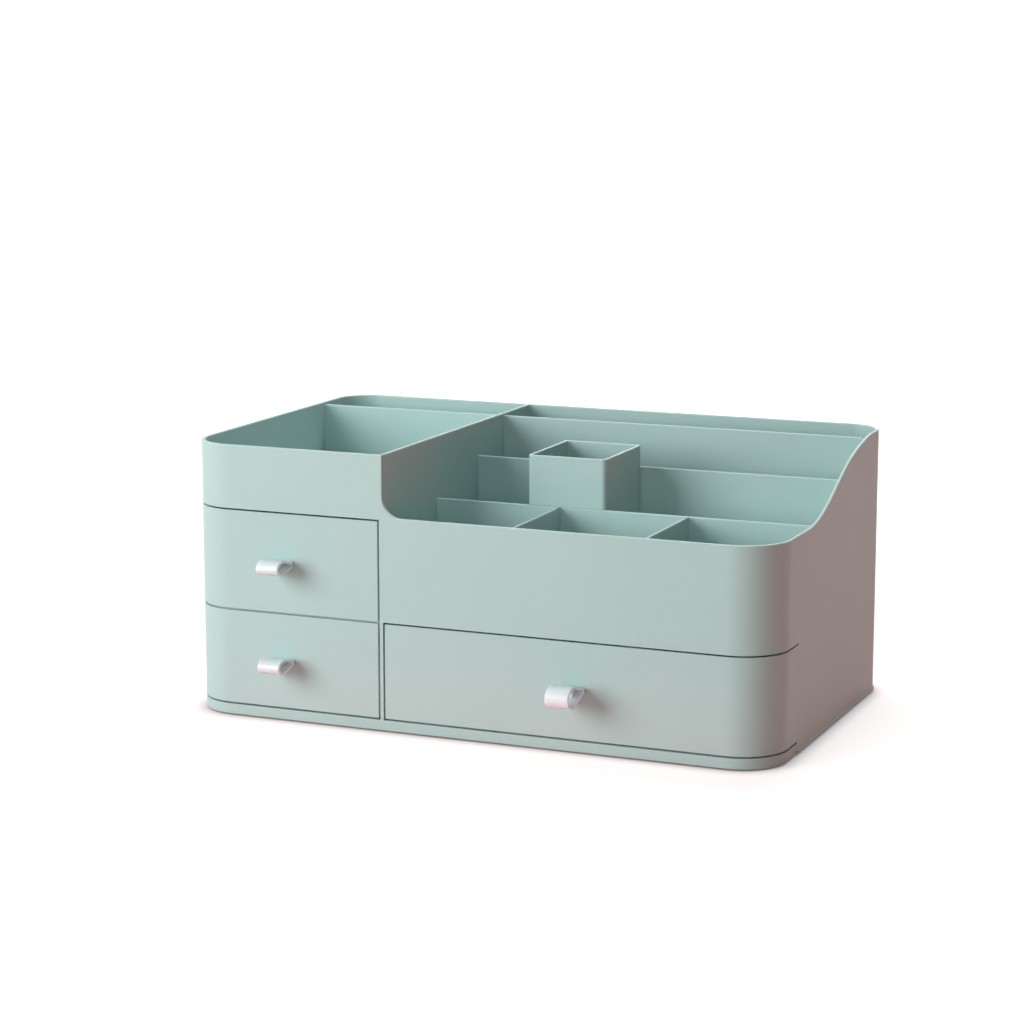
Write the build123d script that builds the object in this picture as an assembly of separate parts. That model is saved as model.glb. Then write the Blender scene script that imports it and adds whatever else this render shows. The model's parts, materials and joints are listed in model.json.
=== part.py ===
from build123d import *
from math import asin, cos, degrees, pi, sin
import os

# A desk organizer for make-up: a rounded plastic case with an open tray on the left, a lower bin
# with dividers on the right, and three drawers with white pulls underneath.
# Sizes are in millimetres. X runs across the front, Y from the front to the back, Z is up.
# The origin is on the table, under the middle of the whole object, pulls included.

# Case
case_width = 360.0
case_depth = 220.0
front_corner_r = 27.5
rear_corner_r = 22.0
wall = 2.2
edge_r = 0.5
rim_r = 0.8

# Heights of the rows, from the table up
foot_lift = 1.2
band_height = 5.8
lower_row = 57.0
upper_row = 59.4
tray_apron = 37.8
bin_apron = 61.3

# Gaps that show round the drawer fronts, and how far the fronts reach back round the sides
seam = 1.0
end_gap = 0.15
front_wrap = 43.6

# Upright between the left column and the right one, and the curved step down to the bin
left_column = 124.8
partition_t = 2.0
step_r = 12.0

# Side rim of the bin, which sweeps up to the back rim. The shares are of its run and its rise.
swoop_start = 60.0
swoop_shares = ((0.344, 0.33), (0.6, 0.75), (0.8, 0.936))

# Floors and shelf
deck_t = 2.0
shelf_t = 2.0

# Base, its ribs and its feet. Its lip under the walls ends a little higher than the band in front,
# and stands out a little from the walls with a slope on top.
lip_lift = 1.6
lip_height = 1.6
lip_out = 0.8
base_floor_t = 2.2
skirt_t = 2.0
base_rib_t = 1.5
base_rib_gap = 1.0
base_ribs_across = 5
base_ribs_along = 3
foot_r = 8.0
foot_t = 1.4
foot_inset = 30.0

# Dividers of the bin
divider_t = 1.8
front_cell_width = 77.0
front_cell_depth = 72.8
rear_cell_depth = 38.5
back_cell_depth = 39.3
front_divider_drop = 0.9
middle_divider_rise = 15.3
rear_divider_drop = 1.5
divider_end_r = 3.0
lap_play = 0.1
tall_cell_offset = 57.6
tall_cell_width = 48.3
tall_cell_rise = 28.3
tall_cell_corner_r = 2.5

# Drawers
drawer_travel = 150.0
tray_wall = 1.8
tray_floor = 2.0
tray_corner_r = 3.0
side_play = 0.6
run_gap = 0.3
runner_height = 0.6
runner_width = 4.0
runner_inset = 30.0
rear_gap = 3.0
rim_play = 0.7
stop_drop = 2.8
stop_t = 2.5
stop_width = 36.0
stop_touch = 0.3
tab_play = 0.5
tab_t = 3.0
tab_width = 24.0
tab_depth = 6.0

# Pulls and the screws that hold them. The wide drawer's pull is the larger one and sits a little
# high, and the small ones sit a little high and towards the upright. A nose's width is half its
# height, and its depth is how far it is rounded from front to back. Beside the front, each pull
# narrows to a neck. It is a loop that is open from side to side, with a boss for its screw inside.
pull_width = 13.8
small_pull_reach = 20.6
small_pull_nose_r = 4.4
small_pull_nose_depth = 7.0
small_pull_shift = 1.4
small_pull_rise = 0.3
wide_pull_reach = 26.6
wide_pull_nose_r = 6.3
wide_pull_nose_depth = 9.0
wide_pull_rise = 1.0
pull_root_r = 1.6
pull_neck_gap = 1.2
pull_neck_inset = 3.0
pull_band = 1.5
pull_boss_width = 5.0
pull_boss_end = 1.5
pull_heel_r = 0.7
screw_r = 1.0
screw_hole_play = 0.2
screw_bite = 7.0
screw_head_r = 3.2
screw_head_t = 1.8
screw_slot_w = 0.8
screw_slot_l = 3.6
screw_slot_d = 0.9

# Places worked out from the sizes above
left_x = -case_width / 2
right_x = case_width / 2
back_y = (case_depth + wide_pull_reach - lip_out) / 2
front_y = back_y - case_depth
wrap_y = front_y + front_wrap
band_top = foot_lift + band_height
lip_top = lip_lift + lip_height
low_split = band_top + lower_row
high_split = low_split + upper_row
case_top = high_split + tray_apron
bin_rim = low_split + bin_apron
partition_left = left_x + left_column
partition_right = partition_left + partition_t
left_deck_z = high_split + seam / 2
left_deck_top = left_deck_z + deck_t
bin_deck_z = low_split + seam / 2
bin_deck_top = bin_deck_z + deck_t
shelf_z = low_split - shelf_t / 2
shelf_top = shelf_z + shelf_t
front_divider_y = front_y + wall + front_cell_depth
rear_divider_y = back_y - wall - back_cell_depth - divider_t
middle_divider_y = rear_divider_y - rear_cell_depth - divider_t
front_divider_top = bin_rim - front_divider_drop
middle_divider_top = bin_rim + middle_divider_rise
rear_divider_top = case_top - rear_divider_drop
tall_cell_left = partition_right + tall_cell_offset
tall_cell_top = bin_rim + tall_cell_rise
tray_back_y = back_y - wall - rear_gap
stop_back_y = tray_back_y - tab_t - drawer_travel - stop_touch


def block(x0, x1, y0, y1, z0, z1):
    """A plain block between two corners."""
    return Pos(x0, y0, z0) * Box(x1 - x0, y1 - y0, z1 - z0, align=(Align.MIN,) * 3)


def slab(plan, z0, z1):
    """A flat outline raised from one height to another."""
    return extrude(Pos(0, 0, z0) * plan, amount=z1 - z0)


def rounded_plan(x0, x1, y0, y1, radii):
    """A rectangle seen from above. The radii are front left, front right, rear right, rear left."""
    corners = [(x0, y0), (x1, y0), (x1, y1), (x0, y1)]
    face = make_face(Polyline(*corners, close=True)).face()
    for corner, radius in zip(corners, radii):
        point = face.vertices().sort_by_distance(corner)[0]
        face = face.fillet_2d(radius, [point])
    return face


def case_plan(inset=0.0):
    """The case's outline from above, moved inwards by an even amount."""
    front_r, rear_r = front_corner_r - inset, rear_corner_r - inset
    return rounded_plan(left_x + inset, right_x - inset, front_y + inset, back_y - inset,
                        (front_r, front_r, rear_r, rear_r))


def column(x0, x1, z0, z1):
    """A block over the whole depth of the case, which keeps one column of it."""
    return block(x0, x1, front_y, back_y, z0, z1)


def spread(low, high, count):
    """Evenly spaced places between two ends, with none on the ends."""
    return [low + (high - low) * (i + 1) / (count + 1) for i in range(count)]


def bin_opening():
    """The space above the bin's rim: level at the front, sweeping up along the right side."""
    above = case_top + seam
    start, end = front_y + swoop_start, back_y - rear_corner_r
    run, rise = end - start, case_top - bin_rim
    stations = [(start + along * run, bin_rim + up * rise) for along, up in swoop_shares]
    sweep = Spline((start, bin_rim), *stations, (end, case_top), tangents=((1, 0), (1, 0)))
    rest = Polyline((end, case_top), (end, above), (front_y - seam, above),
                    (front_y - seam, bin_rim), (start, bin_rim))
    side = extrude(Plane.YZ * make_face(sweep + rest), amount=case_width, both=True)
    bend = step_r * (1 - cos(pi / 4))
    step = ThreePointArc((partition_right, bin_rim + step_r), (partition_right + bend, bin_rim + bend),
                         (partition_right + step_r, bin_rim))
    outline = Polyline((partition_right + step_r, bin_rim), (right_x + seam, bin_rim),
                       (right_x + seam, above), (partition_right, above),
                       (partition_right, bin_rim + step_r))
    front = extrude(Plane.XZ * make_face(step + outline), amount=case_depth, both=True)
    return side & front


def rim_edges(ring):
    """The long edges of the faces that make the open rim of the case, the bin's step included."""
    edges = []
    for face in ring.faces():
        middle = face.center()
        upward = face.normal_at(middle).Z > 0.5
        on_step = abs(middle.X - partition_right) < edge_r
        if middle.Z > front_divider_top and (upward or on_step):
            edges += [edge for edge in face.edges() if edge.length > 2 * wall]
    return edges


def outer_shell():
    """The walls of the case, with an apron above the drawers on the left and on the right."""
    ring = slab(case_plan(), lip_top, case_top) - slab(case_plan(wall), lip_top, case_top)
    ring -= bin_opening()
    bottom = lip_top - seam
    ring -= block(left_x - seam, partition_left, front_y - seam, wrap_y, bottom, left_deck_z)
    ring -= block(partition_left, right_x + seam, front_y - seam, wrap_y, bottom, bin_deck_z)
    ring = ring.solid()
    return ring.fillet(rim_r, rim_edges(ring))


def upright_plate(x0, x1, y0, y1, z0, z1):
    """A plate standing on its edge, with its two long top edges rounded."""
    plate = block(x0, x1, y0, y1, z0, z1)
    along = Axis.X if x1 - x0 > y1 - y0 else Axis.Y
    return fillet(plate.edges().filter_by(along).group_by(Axis.Z)[-1], rim_r)


def centre_partition():
    """The upright between the columns. Its front edge shows beside the lower drawer fronts."""
    upright = upright_plate(partition_left, partition_right, front_y + wall, back_y - wall,
                            band_top, case_top)
    strip = block(partition_left, partition_right, front_y, front_y + wall, band_top, bin_deck_z)
    slot = block(partition_left - seam, partition_right + seam, rear_divider_y - lap_play,
                 rear_divider_y + divider_t + lap_play, left_deck_top, case_top + seam)
    return upright + strip - slot


def stop_rib(middle_x, ceiling):
    """The rib under a floor or shelf that catches the tab on the back of an opened drawer."""
    return block(middle_x - stop_width / 2, middle_x + stop_width / 2, stop_back_y - stop_t, stop_back_y,
                 ceiling - stop_drop, ceiling)


def left_deck():
    """The floor of the open tray on the left, which is also the ceiling of the top drawer."""
    floor = slab(case_plan(wall), left_deck_z, left_deck_top)
    floor &= column(left_x, partition_left, left_deck_z, left_deck_top)
    return floor + stop_rib((left_x + partition_left) / 2, left_deck_z)


def bin_deck():
    """The floor of the bin on the right, which is also the ceiling of the wide drawer."""
    floor = slab(case_plan(wall), bin_deck_z, bin_deck_top)
    floor &= column(partition_right, right_x, bin_deck_z, bin_deck_top)
    return floor + stop_rib((partition_right + right_x) / 2, bin_deck_z)


def left_shelf():
    """The shelf between the two small drawers. It stays clear of the fronts that wrap round it."""
    front = slab(case_plan(wall + run_gap), shelf_z, shelf_top)
    front &= block(left_x, partition_left, front_y, wrap_y, shelf_z, shelf_top)
    rear = slab(case_plan(wall), shelf_z, shelf_top)
    rear &= block(left_x, partition_left, wrap_y, back_y, shelf_z, shelf_top)
    return front + rear + stop_rib((left_x + partition_left) / 2, shelf_z)


def foot_places():
    """The four corners of the base where the feet sit."""
    return [(x, y) for x in (left_x + foot_inset, right_x - foot_inset)
            for y in (front_y + foot_inset, back_y - foot_inset)]


def base_plate():
    """The base: a floor with a band that shows at the front, a lip under the walls and ribs beneath."""
    floor_z, rib_z = band_top - base_floor_t, lip_lift + base_rib_gap
    band = slab(case_plan(), foot_lift, band_top)
    band &= block(left_x, right_x, front_y, wrap_y - end_gap, foot_lift, band_top)
    top_line = band.edges().group_by(Axis.Z)[-1].sort_by(Axis.Y)[:-1]
    lip = slab(case_plan(-lip_out), lip_lift, lip_top)
    lip = chamfer(lip.edges().group_by(Axis.Z)[-1], lip_out)
    lip &= block(left_x - lip_out, right_x + lip_out, wrap_y, back_y + lip_out, lip_lift, lip_top)
    body = lip + slab(case_plan(wall), lip_lift, band_top) + fillet(top_line, edge_r)
    hollow = slab(case_plan(wall + skirt_t), foot_lift, floor_z)
    for y in spread(front_y, back_y, base_ribs_along):
        hollow -= block(left_x, right_x, y - base_rib_t / 2, y + base_rib_t / 2, rib_z, floor_z)
    for x in spread(left_x, right_x, base_ribs_across):
        hollow -= block(x - base_rib_t / 2, x + base_rib_t / 2, front_y, back_y, rib_z, floor_z)
    for x, y in foot_places():
        hollow -= Pos(x, y, foot_t) * extrude(Circle(foot_r + base_rib_t), amount=floor_z - foot_t)
    return body - hollow


def foot_pads():
    """Four soft discs under the corners."""
    return [Pos(x, y, 0) * extrude(Circle(foot_r), amount=foot_t) for x, y in foot_places()]


def cross_divider_front():
    """The divider across the bin that closes the row of front cells."""
    return upright_plate(partition_right, right_x - wall, front_divider_y, front_divider_y + divider_t,
                         bin_deck_top, front_divider_top)


def front_divider(place):
    """One of the short dividers between the front cells, counted from the left."""
    left = partition_right + place * front_cell_width + (place - 1) * divider_t
    return upright_plate(left, left + divider_t, front_y + wall, front_divider_y,
                         bin_deck_top, front_divider_top)


def cross_divider_middle():
    """The divider behind the middle cells."""
    return upright_plate(partition_right, right_x - wall, middle_divider_y, middle_divider_y + divider_t,
                         bin_deck_top, middle_divider_top)


def cross_divider_rear():
    """The divider in front of the back row. It runs over the left deck too, through the partition."""
    outline = Polyline((left_x + wall, left_deck_top), (partition_right, left_deck_top),
                       (partition_right, bin_deck_top), (right_x - wall, bin_deck_top),
                       (right_x - wall, rear_divider_top), (left_x + wall, rear_divider_top), close=True)
    face = make_face(outline).face()
    corner = face.vertices().sort_by_distance((right_x - wall, rear_divider_top))[0]
    face = face.fillet_2d(divider_end_r, [corner])
    plate = extrude(Plane.XZ.offset(-rear_divider_y) * face, amount=-divider_t).solid()
    top_line = plate.edges().filter_by(Axis.X).group_by(Axis.Z)[-1]
    return fillet(top_line, rim_r)


def tall_cell():
    """The square cell that stands higher than the rest of the bin, between two cross dividers."""
    y0, y1 = front_divider_y + divider_t, middle_divider_y
    x1 = tall_cell_left + tall_cell_width
    outer = rounded_plan(tall_cell_left, x1, y0, y1, (tall_cell_corner_r,) * 4)
    inner_r = tall_cell_corner_r - divider_t
    inner = rounded_plan(tall_cell_left + divider_t, x1 - divider_t, y0 + divider_t, y1 - divider_t,
                         (inner_r,) * 4)
    cell = slab(outer, bin_deck_top, tall_cell_top) - slab(inner, bin_deck_top, tall_cell_top)
    return cell


def drawer_front(x0, x1, z0, z1):
    """A drawer front that wraps round the corner of the case on its outer side."""
    panel = slab(case_plan(), z0, z1) - slab(case_plan(wall), z0, z1)
    panel &= block(x0, x1, front_y, wrap_y - end_gap, z0, z1)
    return fillet(panel.edges().sort_by(Axis.Y)[:-4], edge_r)


def drawer_tray(x0, x1, floor_z, ceiling_z, corner_radii):
    """A drawer's box: floor, four walls, runners underneath and a stop tab at the back."""
    bottom = floor_z + run_gap + runner_height
    rim = ceiling_z - stop_drop - rim_play
    y0, y1 = front_y + wall, tray_back_y
    inner_radii = [radius - tray_wall for radius in corner_radii]
    tray = slab(rounded_plan(x0, x1, y0, y1, corner_radii), bottom, rim)
    tray -= slab(rounded_plan(x0 + tray_wall, x1 - tray_wall, y0 + tray_wall, y1 - tray_wall, inner_radii),
                 bottom + tray_floor, rim)
    for x in (x0 + runner_inset, x1 - runner_inset):
        tray += block(x - runner_width / 2, x + runner_width / 2, y0 + runner_inset, y1 - runner_inset,
                      bottom - runner_height, bottom)
    middle = (x0 + x1) / 2
    tray += block(middle - tab_width / 2, middle + tab_width / 2, y1 - tab_t, y1,
                  rim - tab_depth, ceiling_z - tab_play)
    return tray


def taper(middle, nose_depth, nose_r, heel, heel_r):
    """A side view: an oval nose that tapers back to a heel. Both are given by how far out they are."""
    lean = asin((nose_r - heel_r) / ((middle - heel) * nose_r / nose_depth))
    half_heel, turn = heel_r / cos(lean), degrees(lean)
    nose = EllipticalCenterArc((front_y - middle, 0), nose_depth, nose_r, 90 - turn, arc_size=180 + 2 * turn)
    sides = Polyline(nose @ 1, (front_y - heel, -half_heel), (front_y - heel, half_heel), nose @ 0)
    return make_face(nose + sides).face()


def pull(x, z, reach, nose_r, nose_depth):
    """A white pull: a loop that is open from side to side, with a neck and a boss for its screw."""
    middle = reach - nose_depth
    outline = taper(middle, nose_depth, nose_r, 0, pull_root_r)
    heel = pull_neck_gap + pull_band
    opening = taper(middle, nose_depth - pull_band, nose_r - pull_band, heel, pull_heel_r)
    boss = block(-pull_boss_width / 2, pull_boss_width / 2, front_y - screw_bite - pull_boss_end, front_y,
                 -nose_r, nose_r)
    body = extrude(Plane.YZ.offset(-pull_width / 2) * outline, amount=pull_width)
    body = fillet(body.edges().filter_by(GeomType.ELLIPSE), edge_r)
    body -= extrude(Plane.YZ.offset(-pull_width / 2) * opening, amount=pull_width) - boss
    for side in (-1, 1):
        beside = side * (pull_width - pull_neck_inset) / 2
        body -= Pos(beside, front_y - pull_neck_gap / 2, 0) * Box(pull_neck_inset, pull_neck_gap, 2 * nose_r)
    body -= rod(screw_r, front_y - screw_bite, front_y)
    return Pos(x, 0, z) * body


def rod(radius, y0, y1):
    """A round rod along the depth, centred on the front's own axis."""
    return extrude(Plane.XZ.offset(-y0) * Circle(radius), amount=y0 - y1)


def pull_screw(x, z):
    """A screw from inside the drawer, through its two front walls, into the pull."""
    seat = front_y + wall + tray_wall
    screw = rod(screw_r, front_y - screw_bite, seat) + rod(screw_head_r, seat, seat + screw_head_t)
    slot = seat + screw_head_t - screw_slot_d
    for long_x, long_z in ((screw_slot_l, screw_slot_w), (screw_slot_w, screw_slot_l)):
        screw -= block(-long_x / 2, long_x / 2, slot, slot + screw_head_t, -long_z / 2, long_z / 2)
    return Pos(x, 0, z) * screw


def drawer(x0, x1, front_z0, front_z1, floor_z, ceiling_z, outer_side):
    """All the pieces of one drawer. The outer side is -1 where the front wraps round the left."""
    corner_r = front_corner_r - wall - side_play
    rear_r = rear_corner_r - wall - side_play
    x, z = (x0 + x1) / 2, (front_z0 + front_z1) / 2
    if outer_side < 0:
        tray_x0, tray_x1 = left_x + wall + side_play, x1 + seam - side_play
        radii = (corner_r, tray_corner_r, tray_corner_r, rear_r)
        x, z = x + small_pull_shift, z + small_pull_rise
        handle = (small_pull_reach, small_pull_nose_r, small_pull_nose_depth)
    else:
        tray_x0, tray_x1 = x0 - seam + side_play, right_x - wall - side_play
        radii = (tray_corner_r, corner_r, rear_r, tray_corner_r)
        z += wide_pull_rise
        handle = (wide_pull_reach, wide_pull_nose_r, wide_pull_nose_depth)
    hole = Pos(x, 0, z) * rod(screw_r + screw_hole_play, front_y, front_y + wall + tray_wall)
    return {
        "tray": drawer_tray(tray_x0, tray_x1, floor_z, ceiling_z, radii) - hole,
        "front": drawer_front(x0, x1, front_z0, front_z1) - hole,
        "pull": pull(x, z, *handle),
        "pull_screw": pull_screw(x, z),
    }


def drawers():
    """The two small drawers on the left and the wide one on the right, by name."""
    low = (band_top + seam, low_split - seam / 2)
    high = (low_split + seam / 2, high_split - seam / 2)
    left = (left_x, partition_left - seam)
    right = (partition_right + seam, right_x)
    return {
        "lower_left": drawer(*left, *low, band_top, shelf_z, -1),
        "upper_left": drawer(*left, *high, shelf_top, left_deck_z, -1),
        "right": drawer(*right, *low, band_top, bin_deck_z, 1),
    }


def pieces():
    """Every piece of the organizer, by name."""
    found = {
        "outer_shell": outer_shell(),
        "centre_partition": centre_partition(),
        "left_deck": left_deck(),
        "bin_deck": bin_deck(),
        "left_shelf": left_shelf(),
        "base_plate": base_plate(),
        "foot_pads": Compound(children=foot_pads()),
        "cross_divider_front": cross_divider_front(),
        "cross_divider_middle": cross_divider_middle(),
        "cross_divider_rear": cross_divider_rear(),
        "front_divider_left": front_divider(1),
        "front_divider_right": front_divider(2),
        "tall_cell": tall_cell(),
    }
    for name, parts in drawers().items():
        for part_name, part in parts.items():
            found[f"{name}_drawer_{part_name}"] = part
    return found


os.makedirs("parts", exist_ok=True)
for name, piece in pieces().items():
    export_step(piece, f"parts/{name}.step")
    print(f"{name}: {piece.volume:.0f} mm3")
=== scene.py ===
# %% [markdown]
# # A desk organizer for make-up, dressed for its picture
# The organizer is injection-moulded plastic: a rounded case with a tray and a bin on top, and
# three drawers below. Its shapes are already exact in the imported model, so this lesson is about
# what that model can't carry: how the plastic takes the light, how its edges catch a highlight,
# and where the camera and the lamps stand. The first cell loads the model as a fixed frame.

# %% Load the frame
import json
import math

import bmesh
import bpy
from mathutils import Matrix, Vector


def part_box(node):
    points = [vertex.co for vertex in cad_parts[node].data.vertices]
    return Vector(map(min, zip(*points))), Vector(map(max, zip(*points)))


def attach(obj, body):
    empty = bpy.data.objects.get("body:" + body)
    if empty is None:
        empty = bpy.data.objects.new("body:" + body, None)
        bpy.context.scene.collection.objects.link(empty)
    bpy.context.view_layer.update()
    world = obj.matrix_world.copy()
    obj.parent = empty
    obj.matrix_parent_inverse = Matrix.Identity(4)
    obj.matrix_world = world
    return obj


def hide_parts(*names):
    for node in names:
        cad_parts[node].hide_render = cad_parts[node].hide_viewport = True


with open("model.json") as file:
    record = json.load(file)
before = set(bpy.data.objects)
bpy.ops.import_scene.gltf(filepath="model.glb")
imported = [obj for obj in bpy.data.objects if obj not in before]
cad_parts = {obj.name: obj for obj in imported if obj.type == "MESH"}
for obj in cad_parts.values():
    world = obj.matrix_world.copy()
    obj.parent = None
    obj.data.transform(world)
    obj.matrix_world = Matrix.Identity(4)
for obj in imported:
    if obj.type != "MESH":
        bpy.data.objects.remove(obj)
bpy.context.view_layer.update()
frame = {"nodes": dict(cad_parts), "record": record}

MM = 0.001

# %% [markdown]
# ## Camera
# A camera has to be found before anything else can be compared with a picture. Long straight
# edges, such as the rims and the gaps between the drawers, give its place: with the values below
# they fall within a pixel or a little more of where they should be. The lens is long, which is
# why the case looks almost parallel-sided.

# %% Camera
CAMERA_PLACE = (0.6027, -1.4620, 0.4087)
CAMERA_TURN = 22.88
CAMERA_DOWN = 10.49
LENS = 95.6
SENSOR = 36
FARTHEST = 50


def make_camera():
    data = bpy.data.cameras.new("camera")
    data.lens = LENS
    data.sensor_width = SENSOR
    data.clip_end = FARTHEST
    camera = bpy.data.objects.new("camera", data)
    bpy.context.scene.collection.objects.link(camera)
    camera.location = CAMERA_PLACE
    camera.rotation_euler = (math.radians(90 - CAMERA_DOWN), 0, math.radians(CAMERA_TURN))
    bpy.context.scene.camera = camera


make_camera()
print("camera stands", round(math.dist(CAMERA_PLACE, (0, 0, 0)), 2), "m from the object")

# %% [markdown]
# ## Shader maths in plain sums
# A shader is a graph, and a graph that is built by hand in code is hard to read. So one small
# class wraps the output of a node, and lets Python's own signs add the Math nodes: `1 - mask`
# makes a Subtract node, `noise * 0.3` a Multiply node. A second class holds a material while it
# is being built, and adds every other kind of node with one method.

# %% Shader helpers


class Wire:
    """The output of a shader node. A sum written with it adds the Math node that it needs."""

    def __init__(self, finish, socket):
        self.finish, self.socket = finish, socket

    def __add__(self, other):
        return self.finish.sum("ADD", self, other)

    def __sub__(self, other):
        return self.finish.sum("SUBTRACT", self, other)

    def __rsub__(self, other):
        return self.finish.sum("SUBTRACT", other, self)

    def __mul__(self, other):
        return self.finish.sum("MULTIPLY", self, other)

    __radd__ = __add__
    __rmul__ = __mul__


class Finish:
    """A material while it is being built, with one method that adds any node."""

    def __init__(self, name, **fixed):
        self.material = bpy.data.materials.new(name)
        self.material.use_nodes = True
        self.tree = self.material.node_tree
        self.shader = self.tree.nodes["Principled BSDF"]
        self.place = self.node("ShaderNodeTexCoord", output="Object")
        for socket, value in fixed.items():
            self.set(socket.replace("_", " "), value)

    def node(self, kind, settings=None, inputs=None, output=0):
        """Adds a node. Its settings come first, then the values or wires of its inputs."""
        made = self.tree.nodes.new(kind)
        for name, value in (settings or {}).items():
            setattr(made, name, value)
        for name, value in (inputs or {}).items():
            self.join(value, made.inputs[name])
        return Wire(self, made.outputs[output])

    def join(self, value, socket):
        if isinstance(value, Wire):
            self.tree.links.new(value.socket, socket)
        else:
            socket.default_value = value

    def set(self, socket, value):
        """Gives a socket of the shader a value or a wire. Words are matched in any case."""
        names = {name.lower(): name for name in self.shader.inputs.keys()}
        self.join(value, self.shader.inputs[names[socket.lower()]])

    def sum(self, operation, first, second):
        return self.node("ShaderNodeMath", {"operation": operation}, {0: first, 1: second})

    def noise(self, size, detail=2.0, roughness=0.5):
        """Cloudy noise whose blotches are about that size, in metres, from 0 to 1."""
        return self.node("ShaderNodeTexNoise", inputs={
            "Vector": self.place, "Scale": 1 / size, "Detail": detail, "Roughness": roughness})

    def blend(self, factor, first, second):
        """Mixes two colours."""
        return self.node("ShaderNodeMix", {"data_type": "RGBA"},
                         {"Factor": factor, 6: first, 7: second}, output=2)

    def bump(self, height, depth):
        """Turns a height from 0 to 1 into a normal, for a relief of that depth in metres."""
        return self.node("ShaderNodeBump", output="Normal", inputs={
            "Height": height, "Distance": depth, "Strength": 1.0})


def colour(red, green, blue):
    """A colour as a screen shows it, from 0 to 255, in the linear values that light adds in."""
    def linear(value):
        value /= 255
        return value / 12.92 if value <= 0.04045 else ((value + 0.055) / 1.055) ** 2.4
    return (linear(red), linear(green), linear(blue), 1.0)


print("a mid grey of 128 is", round(colour(128, 128, 128)[0], 3), "in linear light")

# %% [markdown]
# ## Sage plastic
# The case is polypropylene or a similar plastic with the colour mixed in before moulding. Three
# things keep it from looking like paint: the mould's fine even grain, which breaks up highlights;
# a faint cloudiness in the colour, because pigment never mixes perfectly; and slow waves in the
# gloss, where the plastic flowed and cooled unevenly. Each is noise at its own size.

# %% Sage plastic
SAGE = (176, 204, 201)
SAGE_CLOUD = (172, 201, 198)
GRAIN_SIZE = 0.45 * MM
GRAIN_DEPTH = 0.012 * MM
CLOUD_SIZE = 60 * MM
FLOW_SIZE = 25 * MM
GLOSS_RANGE = 0.08


def moulded_plastic(name, roughness):
    """Opaque moulded plastic with grain, cloudiness and uneven gloss."""
    finish = Finish(name, ior=1.49, specular_ior_level=0.2)
    cloud = finish.noise(CLOUD_SIZE, detail=3.0)
    finish.set("base color", finish.blend(cloud, colour(*SAGE), colour(*SAGE_CLOUD)))
    flow = finish.noise(FLOW_SIZE)
    grain = finish.noise(GRAIN_SIZE, detail=1.0)
    finish.set("roughness", roughness + (flow - 0.5) * GLOSS_RANGE + (grain - 0.5) * GLOSS_RANGE)
    finish.set("normal", finish.bump(grain, GRAIN_DEPTH))
    return finish.material


sage = moulded_plastic("sage_plastic", roughness=0.42)
drawer_inside = moulded_plastic("drawer_plastic", roughness=0.5)
print("sage plastic has", len(sage.node_tree.nodes), "nodes")

# %% [markdown]
# ## White pulls
# The pulls are a harder, shinier white plastic, so they get less grain and a thin clear coat.
# White plastic also lets light in and scatters it. That is what Subsurface does: it softens the
# shade on the ends of a pull, and brings a little light through to the inside of its loop.

# %% White plastic
WHITE = (225, 240, 244)
WHITE_CLOUD = (221, 237, 241)
WHITE_CLOUD_SIZE = 12 * MM
SCATTER = 4 * MM
WHITE_ROUGHNESS = 0.42
WHITE_FLOW_SIZE = 4 * MM
RIPPLE_SIZE = 1.5 * MM
RIPPLE_DEPTH = 0.006 * MM


def glossy_white():
    """White plastic that light enters a little, with slow waves in its gloss."""
    finish = Finish("white_plastic", ior=1.5, coat_weight=0.2, coat_roughness=0.2,
                    subsurface_weight=0.6, subsurface_radius=(1, 1, 1), subsurface_scale=SCATTER)
    cloud = finish.noise(WHITE_CLOUD_SIZE)
    finish.set("base color", finish.blend(cloud, colour(*WHITE), colour(*WHITE_CLOUD)))
    flow = finish.noise(WHITE_FLOW_SIZE)
    finish.set("roughness", WHITE_ROUGHNESS + (flow - 0.5) * GLOSS_RANGE)
    finish.set("normal", finish.bump(finish.noise(RIPPLE_SIZE, detail=1.0), RIPPLE_DEPTH))
    return finish.material


white = glossy_white()
print("white plastic scatters light over about", SCATTER / MM, "mm")

# %% [markdown]
# ## Steel screws and rubber feet
# The screws are zinc plated, which is metal with brushed streaks: one noise, squeezed along one
# direction, gives them both their colour and their gloss. The feet are soft rubber, which hardly
# shines at all, with a fine speckle.

# %% Steel and rubber
ZINC, ZINC_STREAK = (205, 207, 210), (172, 175, 180)
STREAK_SQUEEZE = (1, 12, 1)
STREAKS = 2500.0
RUBBER, RUBBER_SPECKLE = (205, 210, 207), (184, 190, 187)
SPECKLE_SIZE = 0.8 * MM
SPECKLE_DEPTH = 0.03 * MM


def zinc_steel():
    """Zinc-plated steel with brushed streaks."""
    finish = Finish("screw_steel", metallic=1.0)
    squeezed = finish.node("ShaderNodeMapping", inputs={
        "Vector": finish.place, "Scale": STREAK_SQUEEZE})
    brushed = finish.node("ShaderNodeTexNoise", inputs={
        "Vector": squeezed, "Scale": STREAKS, "Detail": 2.0})
    finish.set("base color", finish.blend(brushed, colour(*ZINC), colour(*ZINC_STREAK)))
    finish.set("roughness", 0.3 + brushed * 0.15)
    return finish.material


def soft_rubber():
    """Pale rubber with a fine speckle."""
    finish = Finish("foot_rubber", roughness=0.85, specular_ior_level=0.3)
    speckle = finish.noise(SPECKLE_SIZE)
    finish.set("base color", finish.blend(speckle, colour(*RUBBER), colour(*RUBBER_SPECKLE)))
    finish.set("normal", finish.bump(speckle, SPECKLE_DEPTH))
    return finish.material


steel, rubber = zinc_steel(), soft_rubber()
print("small finishes:", white.name, steel.name, rubber.name)

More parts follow.
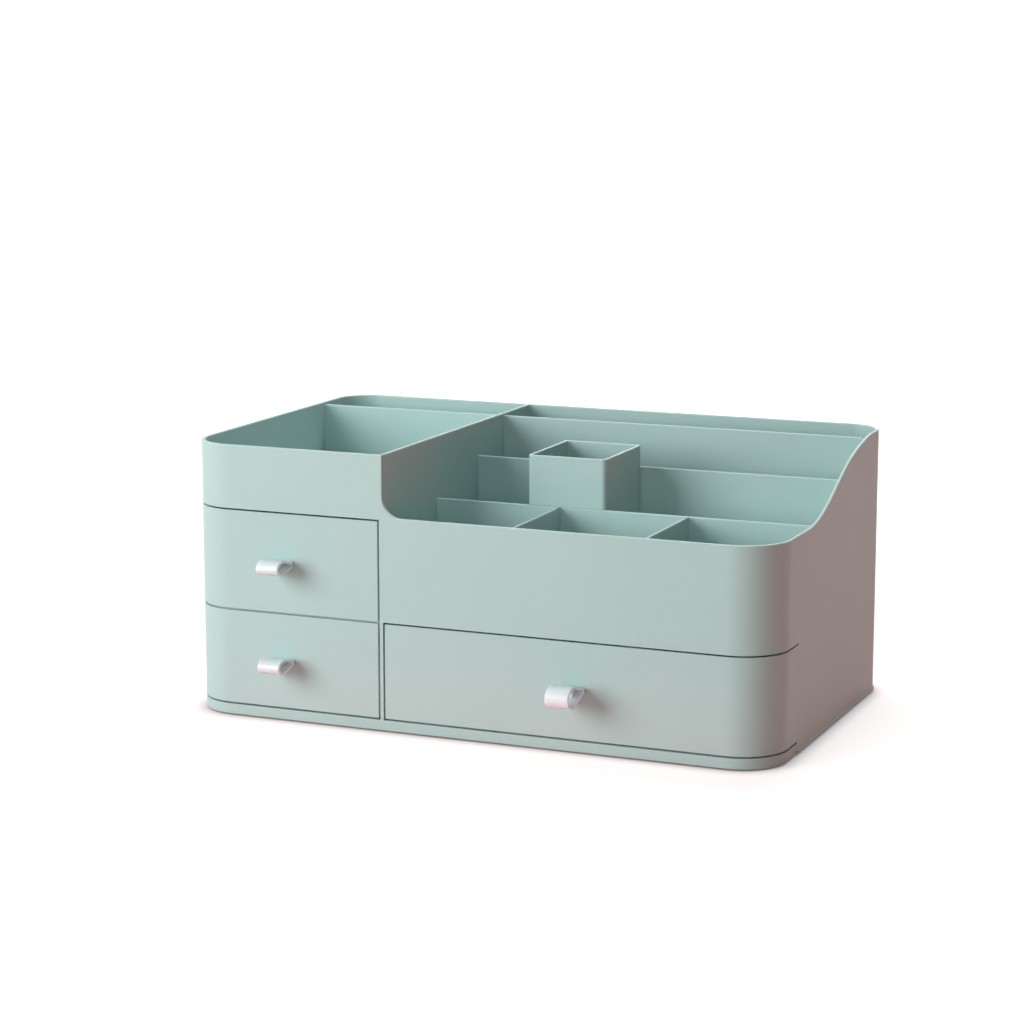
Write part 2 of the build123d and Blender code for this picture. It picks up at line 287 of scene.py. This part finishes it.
# %% [markdown]
# ## Smooth walls from CAD triangles
# The imported model is made of loose flat triangles, so its round corners would show facets. So the
# CAD piece is hidden and left as it is, and a copy stands for it. A CAD piece may not be changed,
# but a copy can stand for it. The copy's touching points are merged, triangles that lie in one
# plane become one face again, and edges that turn sharply are marked as sharp. A Weighted Normal
# modifier then lets the large flat faces set the normals, so that only the narrow rounded edges
# bend the light, which is what makes a moulded edge shine. The pieces that the model leaves square,
# the tall cell and the drawers' boxes, get a small Bevel first, because no mould makes a knife
# edge.

# %% Dress a piece of the model
SHARP = math.radians(35)
FLAT = math.radians(0.2)
TOUCHING = 0.001 * MM
SQUARE_CORNER = math.radians(60)
BEVEL_STEPS = 2
LARGE_FACES_FIRST = 100


def smooth_shading(shape):
    """Marks the edges that turn sharply and shades all the rest smooth."""
    for edge in shape.edges:
        edge.smooth = edge.is_manifold and edge.calc_face_angle(0) < SHARP
    for face in shape.faces:
        face.smooth = True


def merged_copy(node):
    """A copy of a CAD node's mesh whose triangles share their points."""
    mesh = frame["nodes"][node].data.copy()
    shape = bmesh.new()
    shape.from_mesh(mesh)
    bmesh.ops.remove_doubles(shape, verts=shape.verts, dist=TOUCHING)
    bmesh.ops.dissolve_limit(shape, angle_limit=FLAT, verts=shape.verts, edges=shape.edges)
    smooth_shading(shape)
    shape.to_mesh(mesh)
    shape.free()
    return mesh


def body_of(node):
    """The body that holds a CAD node."""
    bodies = frame["record"]["behaviour"]["bodies"]
    return next(body for body, nodes in bodies.items() if node in nodes)


def add_piece(name, mesh, body, replaced=()):
    """Puts a finished mesh into the scene as a piece that rides on a body."""
    piece = bpy.data.objects.new(name, mesh)
    bpy.context.scene.collection.objects.link(piece)
    for node in replaced:
        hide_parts(node)
    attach(piece, body)
    return piece


def dress(node, material, edge=0.0):
    """A smooth copy of a CAD node in its own finish. Its sharp edges may be broken by a width."""
    mesh = merged_copy(node)
    mesh.materials.clear()
    mesh.materials.append(material)
    piece = add_piece(node + "_dressed", mesh, body_of(node), [node])
    if edge:
        bevel = piece.modifiers.new("broken edges", "BEVEL")
        bevel.limit_method = "ANGLE"
        bevel.angle_limit = SQUARE_CORNER
        bevel.width = edge
        bevel.segments = BEVEL_STEPS
        bevel.harden_normals = False
    normals = piece.modifiers.new("even normals", "WEIGHTED_NORMAL")
    normals.keep_sharp = True
    normals.weight = LARGE_FACES_FIRST
    return piece


print("dressing:", round(math.degrees(SHARP)), "degrees and more is a sharp edge")

# %% [markdown]
# ## Which piece gets which finish
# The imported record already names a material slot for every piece, so one loop dresses them all.
# Only the feet wait, because they are made anew below.

# %% Dress every piece
MATERIALS = {"sage_plastic": sage, "drawer_plastic": drawer_inside, "white_plastic": white,
             "screw_steel": steel, "foot_rubber": rubber}
BROKEN_EDGES = {"tall_cell": 0.5 * MM, "lower_left_drawer_tray": 0.3 * MM,
                "upper_left_drawer_tray": 0.3 * MM, "right_drawer_tray": 0.3 * MM}
slots = {part["node"]: part["material_slot"] for part in frame["record"]["subparts"]}
for node, slot in slots.items():
    if node != "foot_pads":
        dress(node, MATERIALS[slot], BROKEN_EDGES.get(node, 0.0))
print("dressed", len(slots) - 1, "pieces")

# %% [markdown]
# ## Copies on a grid
# The feet stand at the four corners, and the marks that the mould's ejector pins leave stand in
# rows on each drawer's floor. Both are one small shape, repeated on a grid, so one tree of
# Geometry Nodes makes both: it lays out the grid, puts a copy on each of its points, and turns
# the copies into real mesh with their material. The modifier's result is then read back as a
# plain mesh, and the modifier is gone.

# %% Grid tree
GRID_INPUTS = {"Across": "NodeSocketFloat", "Along": "NodeSocketFloat",
               "Columns": "NodeSocketInt", "Rows": "NodeSocketInt",
               "Middle": "NodeSocketVector", "Finish": "NodeSocketMaterial"}


def grid_tree():
    """Geometry Nodes that repeat the object's own mesh on the points of a grid."""
    tree = bpy.data.node_groups.new("copies on a grid", "GeometryNodeTree")
    tree.interface.new_socket("Geometry", in_out="INPUT", socket_type="NodeSocketGeometry")
    for name, kind in GRID_INPUTS.items():
        tree.interface.new_socket(name, in_out="INPUT", socket_type=kind)
    tree.interface.new_socket("Geometry", in_out="OUTPUT", socket_type="NodeSocketGeometry")

    def node(kind, **wires):
        made = tree.nodes.new(kind)
        for name, wire in wires.items():
            tree.links.new(wire, made.inputs[name.replace("_", " ")])
        return made.outputs

    given = node("NodeGroupInput")
    grid = node("GeometryNodeMeshGrid", Size_X=given["Across"], Size_Y=given["Along"],
                Vertices_X=given["Columns"], Vertices_Y=given["Rows"])
    moved = node("GeometryNodeTransform", Geometry=grid["Mesh"], Translation=given["Middle"])
    copies = node("GeometryNodeInstanceOnPoints", Points=moved["Geometry"],
                  Instance=given["Geometry"])
    solid = node("GeometryNodeRealizeInstances", Geometry=copies["Instances"])
    finished = node("GeometryNodeSetMaterial", Geometry=solid["Geometry"], Material=given["Finish"])
    node("NodeGroupOutput", Geometry=finished["Geometry"])
    return tree


def copies_on_grid(tree, mesh, **values):
    """Runs the tree on a small mesh and returns all the copies as one plain mesh."""
    carrier = bpy.data.objects.new("carrier", mesh)
    bpy.context.scene.collection.objects.link(carrier)
    modifier = carrier.modifiers.new("copies", "NODES")
    modifier.node_group = tree
    for item in tree.interface.items_tree:
        if item.in_out == "INPUT" and item.name in values:
            modifier[item.identifier] = values[item.name]
    bpy.context.view_layer.update()
    evaluated = carrier.evaluated_get(bpy.context.evaluated_depsgraph_get())
    result = bpy.data.meshes.new_from_object(evaluated)
    bpy.data.objects.remove(carrier)
    return result


def turned(profile, steps):
    """A mesh made by turning a side view, as pairs of radius and height, once round the Z axis."""
    shape = bmesh.new()
    rings = []
    for radius, height in profile:
        if radius == 0:
            rings.append([shape.verts.new((0, 0, height))] * steps)
        else:
            turns = [2 * math.pi * step / steps for step in range(steps)]
            corners = [(radius * math.cos(turn), radius * math.sin(turn), height) for turn in turns]
            rings.append([shape.verts.new(corner) for corner in corners])
    for low, high in zip(rings, rings[1:]):
        for step in range(steps):
            corners = (low[step], low[(step + 1) % steps], high[(step + 1) % steps], high[step])
            shape.faces.new(list(dict.fromkeys(corners)))
    bmesh.ops.recalc_face_normals(shape, faces=shape.faces)
    smooth_shading(shape)
    mesh = bpy.data.meshes.new("turned")
    shape.to_mesh(mesh)
    shape.free()
    return mesh


tree = grid_tree()
print("grid tree:", len(tree.nodes), "nodes and", len(GRID_INPUTS), "sizes to set")

# %% [markdown]
# ## Feet
# The feet are soft discs that keep the organizer from sliding. Only their edge shows, but the
# organizer is turned over now and then, so each has the round grip ridges of a real one. A foot
# is turned from its side view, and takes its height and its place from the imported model.

# %% Feet
FOOT_R = 8 * MM
FOOT_ROUND = 0.3 * MM
FOOT_STEPS = 48
ROUND_POINT = 0.3
RIDGES = 4
RIDGE_DEPTH = 0.35 * MM
RIDGE_BEVEL = 0.12 * MM


def foot_profile(height):
    """Half of a foot's side view, from the middle underneath, over its ridges, to its top."""
    points = [(0, RIDGE_DEPTH)]
    pitch = (FOOT_R - 2 * FOOT_ROUND) / (RIDGES + 0.5)
    for ridge in range(RIDGES):
        start, end = (ridge + 0.5) * pitch, (ridge + 1) * pitch
        points += [(start, RIDGE_DEPTH), (start + RIDGE_BEVEL, 0),
                   (end - RIDGE_BEVEL, 0), (end, RIDGE_DEPTH)]
    edge = FOOT_ROUND * ROUND_POINT
    points += [(FOOT_R - 3 * FOOT_ROUND, RIDGE_DEPTH), (FOOT_R - 2 * FOOT_ROUND, 0),
               (FOOT_R - FOOT_ROUND, 0), (FOOT_R - edge, edge), (FOOT_R, FOOT_ROUND)]
    return points + [(FOOT_R, height), (0, height)]


def make_feet():
    low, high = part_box("foot_pads")
    mesh = turned(foot_profile(high[2] - low[2]), FOOT_STEPS)
    feet = copies_on_grid(tree, mesh, Columns=2, Rows=2, Finish=rubber,
                          Across=high[0] - low[0] - 2 * FOOT_R, Along=high[1] - low[1] - 2 * FOOT_R,
                          Middle=((low[0] + high[0]) / 2, (low[1] + high[1]) / 2, low[2]))
    return add_piece("grip_feet", feet, "case", ["foot_pads"])


feet = make_feet()
print("feet:", len(feet.data.polygons), "faces")

# %% [markdown]
# ## Ejector marks
# When a drawer comes out of its mould, round pins push it out, and each leaves a shallow ring on
# the floor. They are real relief, a little proud of the floor, so that they catch the light when
# a drawer is open.

# %% Ejector marks
MARK_R = 3.5 * MM
MARK_RING = 0.35 * MM
MARK_HEIGHT = 0.12 * MM
MARK_SUNK = 0.1 * MM
MARK_DISC = 0.3
MARK_STEPS = 32
RING_TOP = (0.3, 0.7)
MARK_INSET = 26 * MM
RUNNER_HEIGHT = 0.6 * MM
TRAY_FLOOR = 2.0 * MM
MARK_PITCH = 60 * MM


def mark_profile():
    """Half of a mark's side view: a disc just above the floor, with a low ring at its edge."""
    disc = MARK_HEIGHT * MARK_DISC
    ring = [(MARK_R - MARK_RING * share, MARK_HEIGHT) for share in RING_TOP]
    return [(0, -MARK_SUNK), (MARK_R, -MARK_SUNK), (MARK_R, 0), *ring,
            (MARK_R - MARK_RING, disc), (0, disc)]


def make_marks(drawer):
    """The ejector marks on one drawer's floor, in rows about as far apart as the pins would be."""
    low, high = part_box(drawer + "_tray")
    across, along = high[0] - low[0] - 2 * MARK_INSET, high[1] - low[1] - 2 * MARK_INSET
    floor = low[2] + RUNNER_HEIGHT + TRAY_FLOOR
    marks = copies_on_grid(tree, turned(mark_profile(), MARK_STEPS), Across=across, Along=along,
                           Columns=round(across / MARK_PITCH) + 1,
                           Rows=round(along / MARK_PITCH) + 1,
                           Middle=((low[0] + high[0]) / 2, (low[1] + high[1]) / 2, floor),
                           Finish=drawer_inside)
    return add_piece(drawer + "_ejector_marks", marks, drawer)


for drawer in ("lower_left_drawer", "upper_left_drawer", "right_drawer"):
    print(drawer, "marks:", len(make_marks(drawer).data.polygons), "faces")

# %% [markdown]
# ## Table and background
# The object stands on a pale table that runs out of sight, with a white background behind. A
# white table that is lit fully throws so much light back up that every shaded wall turns pale. So
# the table itself is a rosy grey, which keeps the soft shadow and throws a warm light on the
# lowest drawers. For the camera alone, and for what it sees in gloss, an even glow is added on top
# that lifts it to white. The glow grows with the distance from the object, so that no horizon
# shows where the lamps no longer reach. In the narrow gap under the object an Ambient Occlusion
# node takes the glow away, which paints in the dark contact shade that a real table has there.

# %% Table
TABLE_SIZE = 12.0
TABLE_COLOUR = (0.52, 0.365, 0.35, 1)
TABLE_GLOW = (0.72, 0.77, 0.77, 1)
CONTACT_REACH = 10 * MM
GLOW_FROM = 0.35
GLOW_TO = 1.1
BLACK, BRIGHT = (0, 0, 0, 1), (1, 1, 1, 1)


def seen_ray(tree):
    """A shader node output that is 1 where the camera looks, also by way of gloss or glass."""
    path = tree.nodes.new("ShaderNodeLightPath")
    seen = path.outputs["Is Camera Ray"]
    for name in ("Is Glossy Ray", "Is Transmission Ray"):
        either = tree.nodes.new("ShaderNodeMath")
        either.operation = "MAXIMUM"
        tree.links.new(seen, either.inputs[0])
        tree.links.new(path.outputs[name], either.inputs[1])
        seen = either.outputs[0]
    return seen


def make_table():
    shape = bmesh.new()
    bmesh.ops.create_grid(shape, x_segments=1, y_segments=1, size=TABLE_SIZE / 2)
    mesh = bpy.data.meshes.new("table")
    shape.to_mesh(mesh)
    shape.free()
    table = bpy.data.objects.new("table", mesh)
    bpy.context.scene.collection.objects.link(table)
    finish = Finish("table", roughness=1.0, specular_ior_level=0.0, emission_strength=1.0)
    finish.set("base color", TABLE_COLOUR)
    distance = finish.node("ShaderNodeVectorMath", {"operation": "LENGTH"}, {0: finish.place},
                           output="Value")
    far = finish.node("ShaderNodeMapRange", {"interpolation_type": "SMOOTHSTEP"}, {
        "Value": distance, "From Min": GLOW_FROM, "From Max": GLOW_TO})
    # Painted shade: the glow fades where the object closes over the table, darkening the contact
    # line.
    open_above = finish.node("ShaderNodeAmbientOcclusion", inputs={"Distance": CONTACT_REACH},
                             output="AO")
    glow = finish.blend(open_above, BLACK, finish.blend(far, TABLE_GLOW, BRIGHT))
    seen = Wire(finish, seen_ray(finish.tree))
    finish.set("emission color", finish.blend(seen, BLACK, glow))
    mesh.materials.append(finish.material)


make_table()
print("table:", TABLE_SIZE, "m across, all white from", GLOW_TO, "m out")

# %% [markdown]
# ## Light
# The main soft lamp stands low on the left in front, because the pulls throw their shadows to the
# right and down. A weaker one beside the camera and one from the left even out the fronts. The
# lamp overhead stands a little behind the object, so that it catches every rim and edge without
# flattening the walls, and one behind keeps the back from going black. A low, warm strip on the
# right gives the shaded side its rosy grey, and stays out of the bin because the side wall hides
# it from there, and a weak one in front on that side keeps the corner from going dark between the
# two. Each of these looks at the middle of the object. One more, thin, flat and rosy, lies on the
# table before the lowest drawers, unseen by the camera. It does what a pink tabletop would: it
# warms the lowest fronts, most at the bottom, and the pulls keep it off the plastic above them,
# which stays greener there.

# %% Lamps
LAMPS = {
    "key": dict(place=(-0.93, -1.29, 0.61), size=(1.1, 1.1), power=22.3),
    "beside camera": dict(place=(0.33, -1.58, 0.5), size=(0.7, 0.7), power=3.3),
    "left": dict(place=(-1.46, -0.31, 0.62), size=(0.8, 0.8), power=2.6, tint=(1.0, 0.88, 0.86)),
    "top": dict(place=(0, 0.45, 1.6), size=(0.5, 0.5), power=14),
    "back": dict(place=(-0.45, 1.36, 0.76), size=(1.0, 1.0), power=6),
    "table": dict(place=(0, -0.139, 0.0003), aim=(0, -0.139, 1), size=(0.36, 0.07), power=0.038,
                  tint=(1.0, 0.15, 0.2), shape="RECTANGLE"),
    "right": dict(place=(1.38, 0.3, 0.1), size=(1.6, 0.18), power=2.8, tint=(1.0, 0.02, 0.0)),
    "corner": dict(place=(1.2, -0.9, 0.3), size=(0.8, 0.8), power=1.0, tint=(1.0, 0.6, 0.55)),
}
AIM = (0, 0, 0.07)


def make_lamp(name, place, size, power, tint=(1, 1, 1), aim=AIM, shape="ELLIPSE"):
    """An area lamp of that size in metres, which looks at a point and isn't seen itself."""
    data = bpy.data.lights.new(name, "AREA")
    data.shape = shape
    data.size, data.size_y = size
    data.energy = power
    data.color = tint
    lamp = bpy.data.objects.new(name, data)
    bpy.context.scene.collection.objects.link(lamp)
    lamp.location = place
    lamp.rotation_euler = (Vector(place) - Vector(aim)).to_track_quat("Z", "Y").to_euler()
    lamp.visible_camera = False


for name, values in LAMPS.items():
    make_lamp(name, **values)
print("lamps:", round(sum(values["power"] for values in LAMPS.values()), 1), "W together")

# %% [markdown]
# ## World
# The world gives every surface a little light from all sides, so that no corner goes black. Where
# the camera sees past the table, and in gloss, it is plain white. That shows in reflections, and
# adds no other light.

# %% World
WORLD_LIGHT = 0.08


def make_world():
    world = bpy.data.worlds.new("world")
    bpy.context.scene.world = world
    world.use_nodes = True
    tree = world.node_tree
    background = tree.nodes["Background"]
    strength = tree.nodes.new("ShaderNodeMix")
    strength.inputs["A"].default_value = WORLD_LIGHT
    strength.inputs["B"].default_value = 1.0
    tree.links.new(seen_ray(tree), strength.inputs["Factor"])
    tree.links.new(strength.outputs[0], background.inputs["Strength"])
    background.inputs["Color"].default_value = BRIGHT


make_world()
bpy.context.scene.view_settings.view_transform = "Standard"
print("view transform:", bpy.context.scene.view_settings.view_transform)
